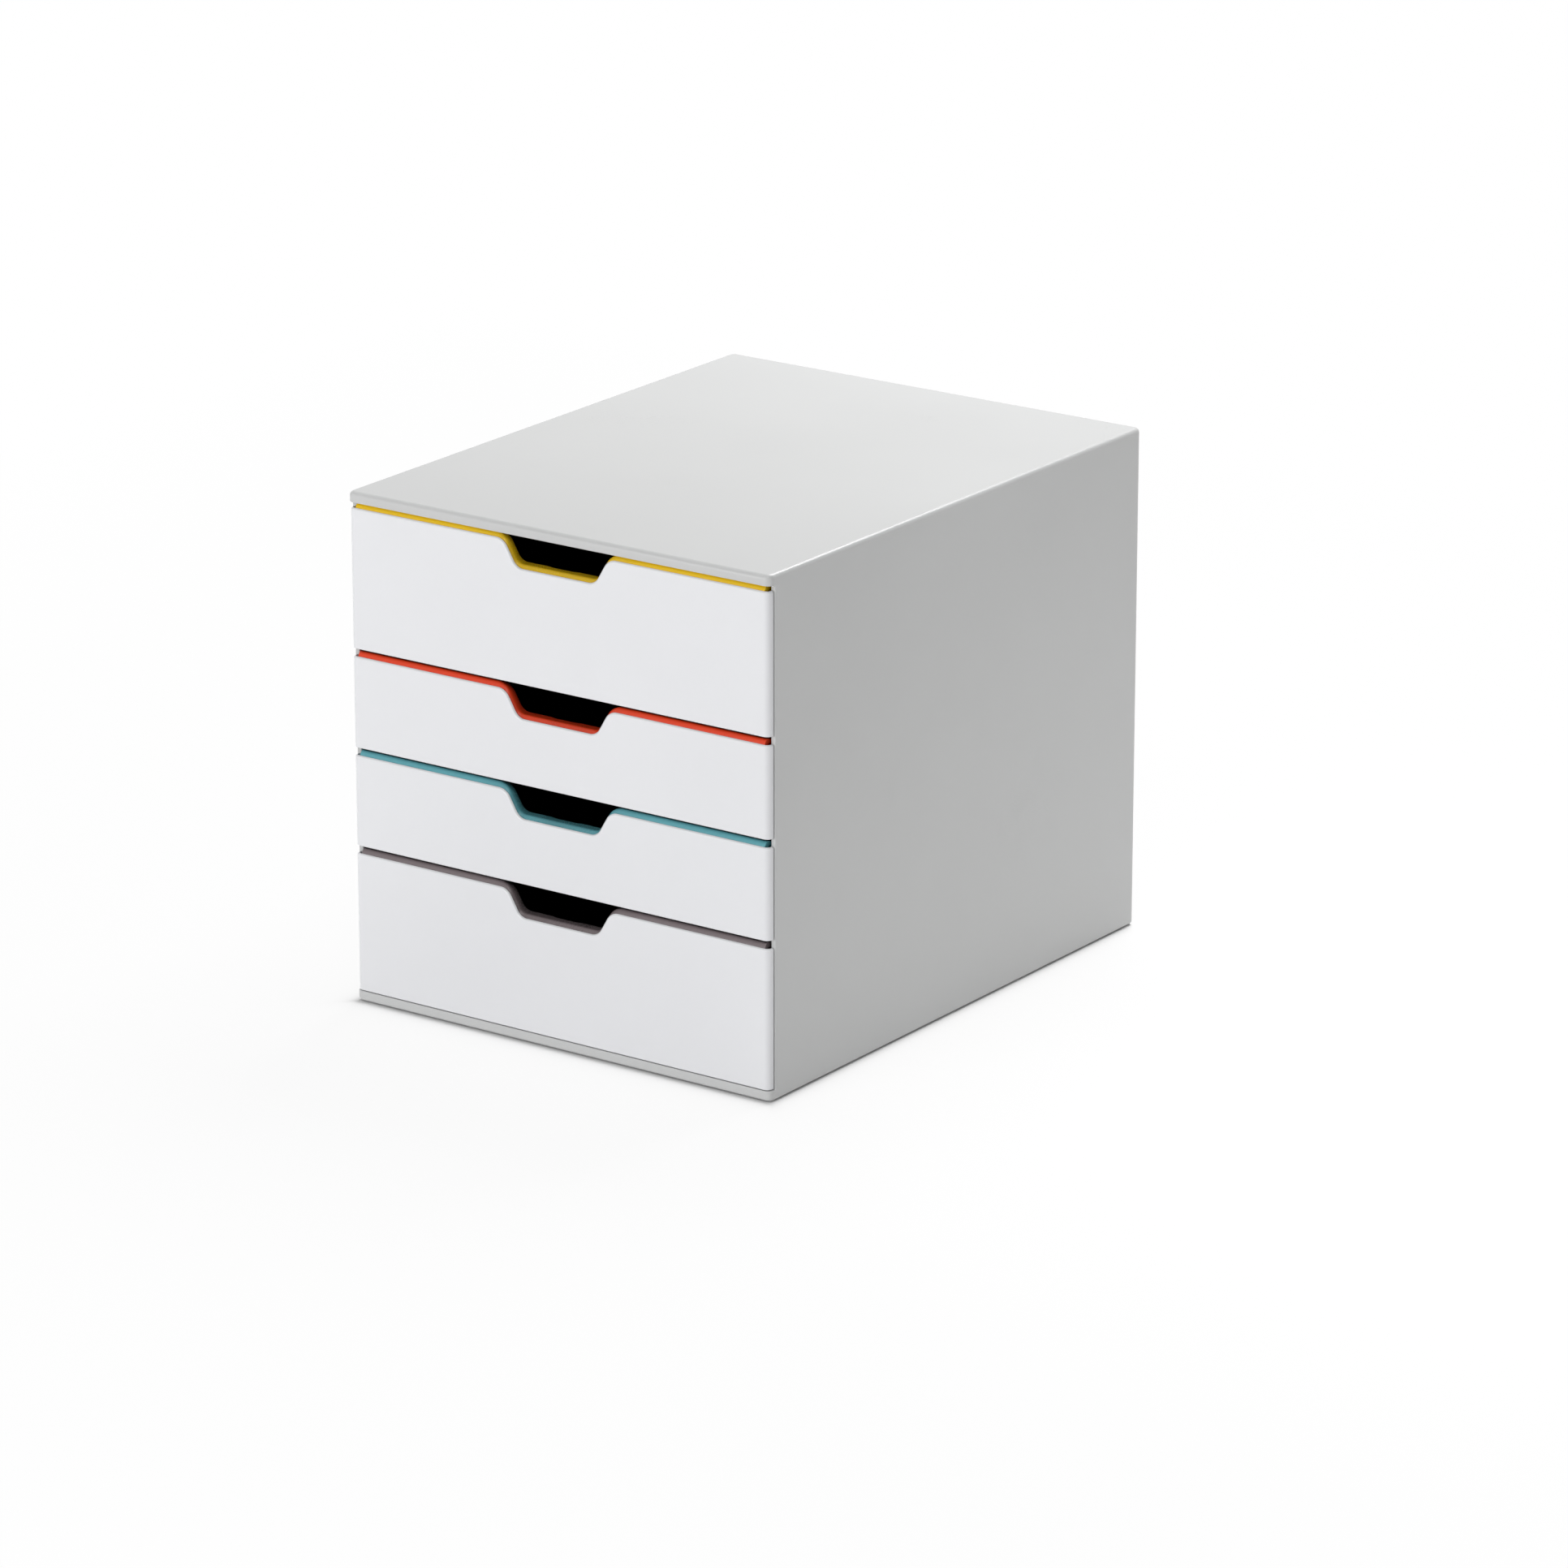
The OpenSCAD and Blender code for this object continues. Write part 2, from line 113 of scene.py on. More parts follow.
quarter = round_corner(Vector((0, 1)), Vector((0, 0)), Vector((1, 0)), 1)
print("a quarter turn has", len(quarter), "points, from", quarter[0][:], "to", quarter[-1][:])

# %% [markdown]
# ## Skins from sections
#
# A moulded part can be seen as a row of sections, like slices of bread: closed outlines with
# the same number of points, one behind another. Joining each outline to the next with
# four-sided faces, and closing both ends, gives a sealed skin. Curves or the Screw modifier
# make such skins too, but only along simple paths. With our own sections the rim of a face
# can follow its finger notch while the wall behind it keeps its true thickness.

# %% Skins, and joining or cutting them
EDGE_ANGLE = radians(35)


def skin(name, sections):
    """An object whose skin runs through closed sections and is closed at both ends."""
    draft = bmesh.new()
    rings = [[draft.verts.new(Vector(point) * MM) for point in section] for section in sections]
    for ring, following in zip(rings, rings[1:]):
        for place in range(len(ring)):
            draft.faces.new((ring[place - 1], ring[place], following[place], following[place - 1]))
    draft.faces.new(rings[0])
    draft.faces.new(rings[-1])
    bmesh.ops.recalc_face_normals(draft, faces=draft.faces)
    mesh = bpy.data.meshes.new(name)
    draft.to_mesh(mesh)
    draft.free()
    piece = bpy.data.objects.new(name, mesh)
    bpy.context.scene.collection.objects.link(piece)
    return piece


def evaluated(piece):
    """The piece as its modifiers show it."""
    return piece.evaluated_get(bpy.context.evaluated_depsgraph_get())


def combine(piece, tool, operation):
    """Cut a tool out of a piece, or grow it on, and then drop the tool."""
    step = piece.modifiers.new("combine", "BOOLEAN")
    step.operation = operation
    step.solver = "EXACT"
    step.object = tool
    mesh = bpy.data.meshes.new_from_object(evaluated(piece))
    piece.modifiers.clear()
    piece.data = mesh
    bpy.data.objects.remove(tool)


def block(low, high):
    """A square-edged block between two corners, used to cut with."""
    flat = [(low[0], low[1]), (high[0], low[1]), (high[0], high[1]), (low[0], high[1])]
    return skin("block", [[(x, y, z) for x, y in flat] for z in (low[2], high[2])])


def turned(name, centre, axis, profile, steps=32):
    """A turned body: pairs of radius and distance along axis 1, Y, or axis 2, Z."""
    sections = []
    for radius, distance in profile:
        section = []
        for step in range(steps):
            turn = 2 * pi * step / steps
            point = list(centre)
            point[0] += radius * cos(turn)
            point[3 - axis] += radius * sin(turn)
            point[axis] += distance
            section.append(point)
        sections.append(section)
    return skin(name, sections)


trial = turned("trial", (0, 0, 0), 2, [(1, 0), (1, 1)], 12)
print("a turned disc of 12 steps has", len(trial.data.polygons), "faces")
bpy.data.objects.remove(trial)

# %% [markdown]
# ## Softened edges
#
# Edges are what the eye reads first on plain plastic: even a nearly sharp one is rounded by
# a few tenths of a millimetre and catches a thin line of light. Parts kept from the
# construction come in as triangles with split corners. Four modifiers turn them into clean
# skins without touching their mesh: Weld joins the corners, Decimate in its planar mode melts
# triangles that lie in one plane, Bevel rounds the edges, and Weighted Normal keeps the large
# flats flat while the light rolls over the rounded edges. A tiny geometry node tree between
# them turns on smooth shading, which an imported mesh only has in places.

# %% Modifiers that soften edges
def smooth_shading_tree():
    """Geometry nodes that shade a whole mesh smooth."""
    tree = bpy.data.node_groups.new("smooth_shading", "GeometryNodeTree")
    tree.interface.new_socket("Geometry", in_out="INPUT", socket_type="NodeSocketGeometry")
    tree.interface.new_socket("Geometry", in_out="OUTPUT", socket_type="NodeSocketGeometry")
    entry = tree.nodes.new("NodeGroupInput")
    shade = tree.nodes.new("GeometryNodeSetShadeSmooth")
    leave = tree.nodes.new("NodeGroupOutput")
    tree.links.new(entry.outputs[0], shade.inputs[0])
    tree.links.new(shade.outputs[0], leave.inputs[0])
    return tree


SMOOTH_TREE = smooth_shading_tree()


def round_edges(piece, width, limit="ANGLE"):
    """Round the sharp edges of a piece, by angle or by the weights stored on its edges."""
    edges = piece.modifiers.new("edges", "BEVEL")
    edges.width = width * MM
    edges.segments = 3
    edges.limit_method = limit
    edges.angle_limit = EDGE_ANGLE


def roll_light(piece):
    """Shade a piece so that flats stay flat and the light rolls over rounded edges."""
    shade = piece.modifiers.new("shade", "NODES")
    shade.node_group = SMOOTH_TREE
    flats = piece.modifiers.new("flats", "WEIGHTED_NORMAL")
    flats.weight = 100


def clean_import(piece):
    """Join the split corners of a packed part and melt its flat triangles together."""
    weld = piece.modifiers.new("weld", "WELD")
    weld.merge_threshold = 0.01 * MM
    melt = piece.modifiers.new("melt", "DECIMATE")
    melt.decimate_type = "DISSOLVE"
    melt.angle_limit = radians(0.5)


DRAWERS = ("top_drawer", "second_drawer", "third_drawer", "bottom_drawer")
FEET = ("front_left_foot", "front_right_foot", "rear_left_foot", "rear_right_foot")
TRAYS = [drawer + "_tray" for drawer in DRAWERS]
kept_edges = {"left_runner_panel": 0.25, "right_runner_panel": 0.25, "rear_panel": 0.3}
kept_edges.update({part: 0.4 for part in [*FEET, *TRAYS]})
for part, width in kept_edges.items():
    clean_import(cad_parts[part])
    round_edges(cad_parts[part], width)
    roll_light(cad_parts[part])
    print(part, "edges", width, "mm,", len(evaluated(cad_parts[part]).data.polygons), "faces")

# %% [markdown]
# ## The housing
#
# The grey housing is one hollow moulding. Its outside is a rounded block: seen from above
# the upright corners have a 4 mm radius, and a smaller rounding runs along the top and the
# base. A Bevel modifier could round a cube, but with two sizes of rounding that meet in a
# corner its patches pinch. Stacked outlines do it cleanly: the same rounded rectangle, drawn
# in a little and lifted along a quarter circle, rolls the walls over into the top.

# %% Outside of the housing
HALF_W = 140.0
HALF_D = 178.0
FRONT = -HALF_D
BASE = 1.0
TOP = 292.0
UPRIGHT_R = 4.0
TOP_R = 2.5
BASE_R = 1.5


def housing_outline(inset, height):
    """The housing seen from above, drawn in by inset, at one height."""
    outline = rounded_rectangle(HALF_W - inset, HALF_D - inset, UPRIGHT_R - inset)
    return [(point.x, point.y, height) for point in outline]


base_rows = [(BASE_R * point.x, BASE + BASE_R * point.y) for point in reversed(quarter)]
top_rows = [(TOP_R * point.x, TOP - TOP_R * point.y) for point in quarter]
rows = base_rows + top_rows
housing = skin("housing_moulding", [housing_outline(inset, height) for inset, height in rows])
print("housing outside:", len(rows), "outlines,", len(housing.data.polygons), "faces")

# %% [markdown]
# ## The hollow
#
# In the mould, a steel core makes the hollow and a second one the open front. We do the same
# with the Boolean modifier: blocks in the shape of those cores are taken away. The front of
# the two side walls stands back a few millimetres, because the drawers' white ends wrap round
# in front of them. Underneath, shallow pockets leave a lattice of ribs, and four round
# pockets take the rubber feet.

# %% Cut the hollow and the pockets
INNER_W = 137.0
DECK_BOTTOM = 4.0
DECK_TOP = 289.0
RAIL_TOP = 6.6
BAND_BOTTOM = 285.9
BAND_DEPTH = 9.0
SIDE_FRONT = 4.8
OVER = 1.0
mouth_plan = [
    (-HALF_W - OVER, FRONT - OVER), (HALF_W + OVER, FRONT - OVER),
    (HALF_W + OVER, FRONT + SIDE_FRONT), (INNER_W, FRONT + SIDE_FRONT),
    (INNER_W, FRONT + BAND_DEPTH + OVER), (-INNER_W, FRONT + BAND_DEPTH + OVER),
    (-INNER_W, FRONT + SIDE_FRONT), (-HALF_W - OVER, FRONT + SIDE_FRONT),
]
mouth = skin("mouth", [[(x, y, z) for x, y in mouth_plan] for z in (RAIL_TOP, BAND_BOTTOM)])
combine(housing, mouth, "DIFFERENCE")
hollow = block((-INNER_W, FRONT + BAND_DEPTH, DECK_BOTTOM), (INNER_W, HALF_D + OVER, DECK_TOP))
combine(housing, hollow, "DIFFERENCE")

POCKETS = (4, 5)
POCKET_RIB = 4.0
POCKET_DEPTH = 1.0
POCKET_MARGIN = 33.0
FOOT_AT = (120.0, 158.0)
FOOT_POCKET = [(9.1, 0), (9.1, 2.6)]
field = (2 * (HALF_W - POCKET_MARGIN), 2 * (HALF_D - POCKET_MARGIN))
pitch = [(field[side] + POCKET_RIB) / POCKETS[side] for side in (0, 1)]
for column in range(POCKETS[0]):
    for row in range(POCKETS[1]):
        x = column * pitch[0] - field[0] / 2
        y = row * pitch[1] - field[1] / 2
        far = (x + pitch[0] - POCKET_RIB, y + pitch[1] - POCKET_RIB, BASE + POCKET_DEPTH)
        combine(housing, block((x, y, BASE - OVER), far), "DIFFERENCE")
for x in (-FOOT_AT[0], FOOT_AT[0]):
    for y in (-FOOT_AT[1], FOOT_AT[1]):
        combine(housing, turned("pocket", (x, y, 0), 2, FOOT_POCKET, 48), "DIFFERENCE")
print("housing with hollow and pockets:", len(housing.data.polygons), "faces")

# %% [markdown]
# ## Which edges are rounded most
#
# The rim of the open front is seen and touched, so it gets the largest rounding. Edges inside
# and below are nearly sharp. The rear rim already ends in the rounding of the outside, so it
# stays as it is. One Bevel modifier can do all of this when it takes its width from a weight
# that is stored on every edge.

# %% Weigh the housing's edges
RIM_ROUNDING = 0.7
INSIDE_SHARE = 0.4


def weigh_edges(piece, rule):
    """Store a bevel weight on each sharp edge, from a rule on where its middle lies."""
    draft = bmesh.new()
    draft.from_mesh(piece.data)
    weight = draft.edges.layers.float.new("bevel_weight_edge")
    for edge in draft.edges:
        if len(edge.link_faces) == 2 and edge.calc_face_angle() > EDGE_ANGLE:
            edge[weight] = rule((edge.verts[0].co + edge.verts[1].co) / 2 / MM)
    count = sum(edge[weight] > 0 for edge in draft.edges)
    draft.to_mesh(piece.data)
    draft.free()
    return count


def housing_weight(middle):
    """Full weight round the open front, less inside and below, none on the rear rim."""
    if middle.y > HALF_D - UPRIGHT_R:
        return 0.0
    if middle.y < FRONT + BAND_DEPTH + OVER and middle.z > RAIL_TOP - OVER:
        return 1.0
    return INSIDE_SHARE


print("rounded edges of the housing:", weigh_edges(housing, housing_weight))
round_edges(housing, RIM_ROUNDING, "WEIGHT")
roll_light(housing)
print("faces with the rounding:", len(evaluated(housing).data.polygons))
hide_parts("housing_shell")
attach(housing, "housing")

# %% [markdown]
# ## The edge with the finger notch
#
# A white face and its coloured trim share one line: the top edge, which dips into a notch
# with slanted walls and rounded corners, so that a finger can reach behind the face. The trim
# repeats it at other depths, moved into the material or out of it, and by other amounts on
# the notch's floor and walls. So the edge is a function of three insets. Every point also
# carries a third value, its share of the floor, that tells the trim where its ledge grows.

# %% The notched edge
FACE_END = 139.0
FACE_R = 3.5
FLAT_END = FACE_END - FACE_R
NOTCH_TOP = 35.0
NOTCH_FOOT = 26.2
NOTCH_DEPTH = 15.0
NOTCH_R = 8.0
LEAST_R = 0.4
NOTCH_STEPS = 12
SCOOP_W = 20.0
SCOOP_STEPS = 16
slope = (NOTCH_TOP - NOTCH_FOOT) / NOTCH_DEPTH


def shared(points, first, last):
    """Give each point a third value that runs evenly from first to last."""
    gap = (last - first) / (len(points) - 1)
    return [Vector((point.x, point.y, first + gap * place)) for place, point in enumerate(points)]


def notched_edge(half_w, inset=0.0, floor_inset=None, wall_inset=None):
    """The top edge from left to right: x, z with the level runs at 0, share of the floor.

    inset draws the edge into the material; the notch's floor and walls can have their own.
    """
    floor_inset = inset if floor_inset is None else floor_inset
    wall_inset = inset if wall_inset is None else wall_inset
    end = Vector((half_w, -inset))
    brink = Vector((NOTCH_TOP + wall_inset * sqrt(1 + slope ** 2) - slope * inset, -inset))
    floor_z = -NOTCH_DEPTH - floor_inset
    foot = Vector((brink.x - slope * (brink.y - floor_z), floor_z))
    inner_r = NOTCH_R + (floor_inset + wall_inset) / 2
    outer_r = max(NOTCH_R - (inset + wall_inset) / 2, LEAST_R)
    lower = round_corner(Vector((0, floor_z)), foot, brink, inner_r, NOTCH_STEPS)
    upper = round_corner(foot, brink, end, outer_r, NOTCH_STEPS)
    right = [*shared(lower, 1, 0), *shared([*upper, end], 0, 0)]
    left = [Vector((-point.x, point.y, point.z)) for point in reversed(right)]
    places = [SCOOP_W * (step / SCOOP_STEPS - 0.5) for step in range(SCOOP_STEPS + 1)]
    return [*left, *(Vector((x, floor_z, 1)) for x in places), *right]


edge_line = notched_edge(FLAT_END)
print("the edge has", len(edge_line), "points and dips by", -min(point.y for point in edge_line), "mm")

# %% [markdown]
# ## The white faces
#
# A face is a thin plate whose two ends turn back round the corner. Seen from above it is a
# flat C. We walk along that C from one turned-back end to the other and stand a section at
# each station: a slim upright outline of the wall with rounded rims. On the flat front the
# stations are the points of the notched edge, so the wall's top dips with the notch. Its top
# edge is a slim lip that slopes down to the front, so it catches the light and shows as a
# white line below the coloured one; behind it a step makes room for the coloured edge. Four
# pegs at the back hold the face.

# %% The outline of a face's wall
FACE_T = 2.2
LIP_T = 1.2
LIP_RISE = 0.7
STEP_DOWN = 1.0
BROW_DOWN = 0.2
BROW_R = 1.0
BROW_STEPS = 6
TIP_R = 0.2
TIP_STEPS = 3
FOOT_RIM_R = 0.5
BACK_R = 0.3

brow = Vector((0, BROW_DOWN))
tip = Vector((LIP_T, -LIP_RISE))
behind_tip = Vector((LIP_T, STEP_DOWN))
top_rim = round_corner(Vector((0, STEP_DOWN)), brow, tip, BROW_R, BROW_STEPS)
top_rim += round_corner(brow, tip, behind_tip, TIP_R, TIP_STEPS)
top_rim += [behind_tip, Vector((FACE_T, STEP_DOWN))]
foot_rim = [(FACE_T - BACK_R * point.x, BACK_R * point.y) for point in quarter]
foot_rim += [(FOOT_RIM_R * point.x, FOOT_RIM_R * point.y) for point in reversed(quarter)]
print("the outline has", len(top_rim), "points at the top and", len(foot_rim), "at the foot")

# %% Sections of a face
FACE_RETURN = 4.4
END_R = 0.4
TURN_STEPS = 10

front_lines = [notched_edge(FLAT_END, inset) for depth, inset in top_rim]
turns = [(FACE_R, radians(90) * step / TURN_STEPS, 0) for step in range(1, TURN_STEPS + 1)]
turns += [(FACE_RETURN - END_R * point.y, radians(90), END_R * point.x) for point in quarter]


def front_section(station, low, high):
    """The wall at one point of the notched edge."""
    section = []
    for (depth, inset), line in zip(top_rim, front_lines):
        section.append((line[station].x, FRONT + depth, high + line[station].y))
    x = edge_line[station].x
    section += [(x, FRONT + depth, low + inset) for depth, inset in foot_rim]
    return section


def end_section(side, turn, low, high):
    """The wall in the rounded corner or the turned-back end; side is -1 or 1."""
    back, angle, shrink = turn
    section = []
    for place, (depth, inset) in enumerate(top_rim + foot_rim):
        reach = FACE_R - shrink - depth * (1 - 2 * shrink / FACE_T)
        x = side * (FLAT_END + reach * sin(angle))
        y = FRONT + back - reach * cos(angle)
        z = high - inset - shrink if place < len(top_rim) else low + inset + shrink
        section.append((x, y, z))
    return section


def face_plate(name, low, high):
    """A white face between two heights."""
    sections = [end_section(-1, turn, low, high) for turn in reversed(turns)]
    sections += [front_section(station, low, high) for station in range(len(edge_line))]
    sections += [end_section(1, turn, low, high) for turn in turns]
    return skin(name, sections)


print("a face has", len(edge_line) + 2 * len(turns), "sections")

# %% Build the white faces
PEG_X = FACE_END - 28.0
PEG_LOW = 10.0
PEG_HIGH = 18.4
PEG = [(4.0, FACE_T - 0.5), (4.0, 4.3), (3.8, 4.5), (2.4, 4.5), (2.4, 6.8), (2.2, 7.0)]
faces = {}
for drawer in DRAWERS:
    cad_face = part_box(drawer + "_face")
    low = cad_face[0].z / MM
    high = cad_face[1].z / MM
    plate = face_plate(drawer + "_front", low, high)
    for x in (-PEG_X, PEG_X):
        for z in (low + PEG_LOW, high - PEG_HIGH):
            combine(plate, turned("peg", (x, FRONT, z), 1, PEG), "UNION")
    plate.data.shade_smooth()
    plate.data.set_sharp_from_angle(angle=EDGE_ANGLE)
    flats = plate.modifiers.new("flats", "WEIGHTED_NORMAL")
    flats.weight = 100
    flats.keep_sharp = True
    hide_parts(drawer + "_face")
    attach(plate, drawer)
    faces[drawer] = plate
    print(plate.name, "from", round(low, 1), "to", round(high, 1), "mm,",
          len(plate.data.polygons), "faces")

# %% [markdown]
# ## The coloured trims
#
# Behind each white face sits a coloured moulding. Its rounded rim rises above the face's
# edge, follows it through the notch, and shows as a thin line of colour all along. On the
# notch's floor its back is flat: a ledge for the fingertips, with a shallow scoop in its rear
# edge. A skirt hangs down behind the face, and a hook behind the tray's wall, so the trim
# rides on that wall. Each ring below is one corner of that profile: its depth elsewhere and
# on the notch's floor, and its heights on the level runs, the walls and the floor. Walking
# along all rings at once gives the sections.

# %% The rim of a trim
RIM_FRONT = LIP_T + 0.2
TRIM_BACK = 8.3
RIM_START = 0.3
RIM_RISE = 3.0
WALL_RISE = 1.2
FLOOR_RISE = 2.4
RIM_CURVE = 1.8
RIM_FALL = 1.5
CREST = 0.32
CREST_STEPS = 5
LEDGE_REACH = 0.4
LEDGE_FALL = 0.3


def rim_height(share, rise):
    """Height of the rim over the face's edge at a share of its depth; rise is the crest's."""
    if share < CREST:
        return rise - (rise - RIM_START) * (1 - share / CREST) ** RIM_CURVE
    return rise - RIM_FALL * ((share - CREST) / (1 - CREST)) ** 2


def rim_ring(share, last):
    """A ring on the rim: depth and height on the level runs, on the walls and on the floor."""
    depth = RIM_FRONT + (TRIM_BACK - RIM_FRONT) * share
    behind = max(share - CREST, 0) / (1 - CREST)
    floor_height = FLOOR_RISE - LEDGE_FALL * behind if behind else rim_height(share, FLOOR_RISE)
    heights = rim_height(share, RIM_RISE), rim_height(share, WALL_RISE), floor_height
    return depth, depth + LEDGE_REACH * behind, heights, last


shares = [CREST * step / CREST_STEPS for step in range(CREST_STEPS)]
shares += [CREST + (1 - CREST) * step / CREST_STEPS for step in range(CREST_STEPS + 1)]
trim_rings = [rim_ring(share, share == 1) for share in shares]
print("the rim has", len(trim_rings), "rings; its crest is", RIM_RISE, "mm above the face's edge")

# %% The rest of a trim
TRIM_END = 135.4
RIM_T = 2.0
REAR_SLANT = 0.5
SCOOP_DEPTH = 1.5
UNDER = 0.1
SKIRT_FRONT = 2.4
SKIRT_TOP = STEP_DOWN - 0.2
SKIRT = 8.4
TRAY_FRONT = 4.5
HOOK_FRONT = 7.1
HOOK = 5.0

ledge_under = FLOOR_RISE - LEDGE_FALL - RIM_T
trim_rings += [
    (TRIM_BACK, TRIM_BACK + LEDGE_REACH, (-RIM_T / 2, -RIM_T, ledge_under + REAR_SLANT), True),
    (TRIM_BACK, TRIM_BACK, (-RIM_T, -RIM_T - REAR_SLANT, ledge_under), False),
]
under_profile = [
    (TRIM_BACK, -HOOK), (HOOK_FRONT, -HOOK), (HOOK_FRONT, UNDER), (TRAY_FRONT, UNDER),
    (TRAY_FRONT, -SKIRT), (SKIRT_FRONT, -SKIRT), (SKIRT_FRONT, -SKIRT_TOP), (RIM_FRONT, -SKIRT_TOP),
]
trim_rings += [(depth, depth, (height,) * 3, False) for depth, height in under_profile]


def trim_line(ring, height):
    """One ring of a trim whose face ends at this height, as points in space."""
    depth, floor_depth, (rise, wall_rise, floor_rise), scooped = ring
    line = []
    for point in notched_edge(TRIM_END, -rise, -floor_rise, -wall_rise):
        share = min(abs(2 * point.x / SCOOP_W), 1)
        scoop = point.z * SCOOP_DEPTH * (1 - share ** 2) if scooped else 0
        y = FRONT + depth + point.z * (floor_depth - depth) - scoop
        line.append((point.x, y, height + point.y))
    return line


print("a trim has", len(trim_rings), "rings of", len(trim_line(trim_rings[0], 0)), "points")

# %% Build the coloured trims
TRIM_ROUNDING = 0.35
TRIM_COLOURS = {
    "top_drawer": "yellow", "second_drawer": "red", "third_drawer": "teal",
    "bottom_drawer": "brown",
}
trims = {}
for drawer, colour in TRIM_COLOURS.items():
    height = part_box(drawer + "_face")[1].z / MM
    lines = [trim_line(ring, height) for ring in trim_rings]
    trim = skin(drawer + "_" + colour + "_edge", list(zip(*lines)))
    round_edges(trim, TRIM_ROUNDING)
    roll_light(trim)
    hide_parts(drawer + "_trim")
    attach(trim, drawer)
    trims[drawer] = trim
    print(trim.name, "at", round(height, 1), "mm,", len(evaluated(trim).data.polygons), "faces")

# %% [markdown]
# ## Shader sums
#
# A material is a network of nodes, and clicking one together for every finish would be slow
# to read and to change. Written as a sum, it is one line. The class below wraps the socket
# that a value comes out of. Adding or multiplying two of them adds the Math node and its
# links, and any other node comes from one method, which first takes the node's settings and
# then the values or wires of its sockets. Colours go through Mix nodes, because a Math node
# would turn them grey.

# %% Wires between shader nodes
class Wire:
    """A value on its way through a node tree."""

    def __init__(self, tree, socket=None):
        self.tree = tree
        self.socket = socket

    def node(self, kind, settings=None, sockets=None, output=0):
        """Add a node: first its settings, then the values or wires of its sockets."""
        added = self.tree.nodes.new(kind)
        for name, value in (settings or {}).items():
            if name == "stops":
                for stop, (place, level) in zip(added.color_ramp.elements, value):
                    stop.position = place
                    stop.color = (level, level, level, 1)
            else:
                setattr(added, name, value)
        for name, value in (sockets or {}).items():
            if isinstance(value, Wire):
                self.tree.links.new(value.socket, added.inputs[name])
            else:
                added.inputs[name].default_value = value
        return Wire(self.tree, added.outputs[output] if added.outputs else None)

    def beside(self, output):
        """Another output of the node that this wire comes from."""
        return Wire(self.tree, self.socket.node.outputs[output])

    def math(self, operation, first, second=0.0):
        return self.node("ShaderNodeMath", {"operation": operation}, {0: first, 1: second})

    def __add__(self, other):
        return self.math("ADD", self, other)

    __radd__ = __add__

    def __sub__(self, other):
        return self.math("SUBTRACT", self, other)

    def __rsub__(self, other):
        return self.math("SUBTRACT", other, self)

    def __mul__(self, other):
        return self.math("MULTIPLY", self, other)

    __rmul__ = __mul__

    def __truediv__(self, other):
        return self.math("DIVIDE", self, other)

    def __rtruediv__(self, other):
        return self.math("DIVIDE", other, self)

    def stretched(self, x, y, z):
        """The same place in space, measured on other scales along X, Y and Z."""
        return self.node("ShaderNodeVectorMath", {"operation": "MULTIPLY"}, {0: self, 1: (x, y, z)})

    def noise(self, scale, detail=2.0):
        """Soft random values from 0 to 1, with this many lumps per metre."""
        return self.node("ShaderNodeTexNoise", {}, {"Vector": self, "Scale": scale, "Detail": detail})

    def ramp(self, dark, light):
        """0 below dark, 1 above light, and a slope between them."""
        stops = [(dark, 0), (light, 1)]
        return self.node("ShaderNodeValToRGB", {"stops": stops}, {0: self})

    def tint(self, first, second):
        """A colour between two colours, by this wire's value."""
        return self.node("ShaderNodeMix", {"data_type": "RGBA"}, {0: self, 6: first, 7: second}, 2)


def fresh_tree(holder):
    """An empty node tree for a material or the world, ready for wires."""
    holder.use_nodes = True
    holder.node_tree.nodes.clear()
    return Wire(holder.node_tree)


print("operators ready:", [word for word in vars(Wire) if word.startswith("__")])

# %% [markdown]
# ## Moulded plastic
#
# All plastic here shares a build. The colour is mixed into the pellets, so it is even, with
# only a faint drift where the melt flowed. The surface copies the mould's steel: a fine
# spark-eroded grain on matt parts, a hint of orange peel on glossy ones, and a very slow
# waviness that large thin walls always have. The grain could be real geometry, but at a
# third of a millimetre it would need millions of faces, so it is a bump. Places that fingers
# or runners rub turn a little smoother. Round the notches strong colours are also darkened a
# little: that is painted shade, standing in for the shade that falls into the notch.

# %% A plastic finish
FLOW_LUMPS = 9.0
WAVE_LUMPS = 14.0
WAVE = 0.02
FLOW_ROUGHNESS = 0.10
SPECK_ROUGHNESS = 0.06
RUBBED_SMOOTH = 0.05
# The colour that the painted shade round the notches darkens towards.
NOTCH_SHADE_COLOUR = (0.02, 0.015, 0.01, 1)


